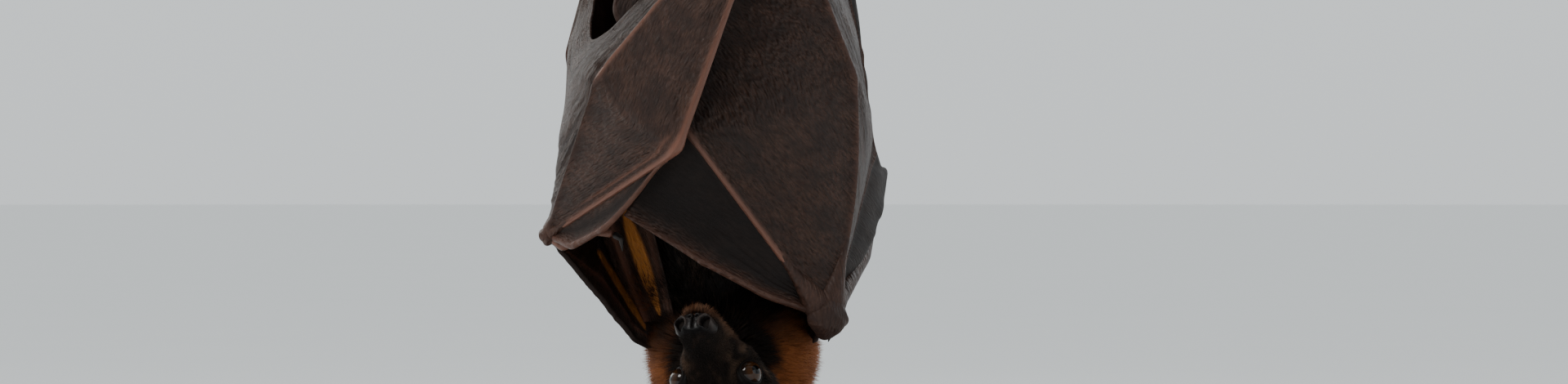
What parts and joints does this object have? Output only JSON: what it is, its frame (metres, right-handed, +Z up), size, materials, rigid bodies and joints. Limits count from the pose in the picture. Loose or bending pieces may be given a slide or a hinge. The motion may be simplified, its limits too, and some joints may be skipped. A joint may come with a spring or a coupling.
{
  "type": "flying fox model",
  "caption": "Life-size still flying fox hanging head down from a cut branch, wings wrapped round its body, with the branch held by a rod on a flat base",
  "frame": {"origin": "middle of the underside of the base, on the floor", "axes": "+Z up; the bat's belly and face look towards -Y, its right wing is towards +X and its head hangs towards -Z"},
  "size_m": [0.2, 0.216, 0.3882],
  "materials": {
    "dark_fur": "dense short dark brown fur",
    "rust_fur": "longer rusty brown ruff",
    "ear_skin": "thin bare dark skin",
    "wing_skin": "thin bare skin with fine wrinkles, low sheen",
    "bone_skin": "thin reddish brown skin over bone",
    "eye": "wet dark brown gloss",
    "claw": "dark horn, half polished",
    "bark": "rough grey-brown bark",
    "base_black": "satin black stained wood",
    "rod_steel": "brushed"
  },
  "bodies": {
    "root": {"head": "dark_fur", "neck": "rust_fur", "trunk": "dark_fur", "eye_l": "eye", "ear_l": "ear_skin", "upper_arm_l": "dark_fur", "forearm_l": "wing_skin", "thumb_l": "bone_skin", "thumb_claw_l": "claw", "index_l": "bone_skin", "finger_3_l": "bone_skin", "finger_4_l": "bone_skin", "finger_5_l": "bone_skin", "index_web_l": "wing_skin", "finger_3_web_l": "wing_skin", "finger_4_web_l": "wing_skin", "side_web_l": "wing_skin", "shoulder_web_l": "wing_skin", "leg_l": "dark_fur", "foot_l": "bone_skin", "claw_l_1": "claw", "claw_l_2": "claw", "claw_l_3": "claw", "claw_l_4": "claw", "claw_l_5": "claw", "eye_r": "eye", "ear_r": "ear_skin", "upper_arm_r": "dark_fur", "forearm_r": "wing_skin", "thumb_r": "bone_skin", "thumb_claw_r": "claw", "index_r": "bone_skin", "finger_3_r": "bone_skin", "finger_4_r": "bone_skin", "finger_5_r": "bone_skin", "index_web_r": "wing_skin", "finger_3_web_r": "wing_skin", "finger_4_web_r": "wing_skin", "side_web_r": "wing_skin", "shoulder_web_r": "wing_skin", "leg_r": "dark_fur", "foot_r": "bone_skin", "claw_r_1": "claw", "claw_r_2": "claw", "claw_r_3": "claw", "claw_r_4": "claw", "claw_r_5": "claw", "perch": "bark", "stand_base": "base_black", "stand_rod": "rod_steel", "stand_base_collar": "rod_steel", "stand_perch_collar": "rod_steel"}
  },
  "joints": []
}
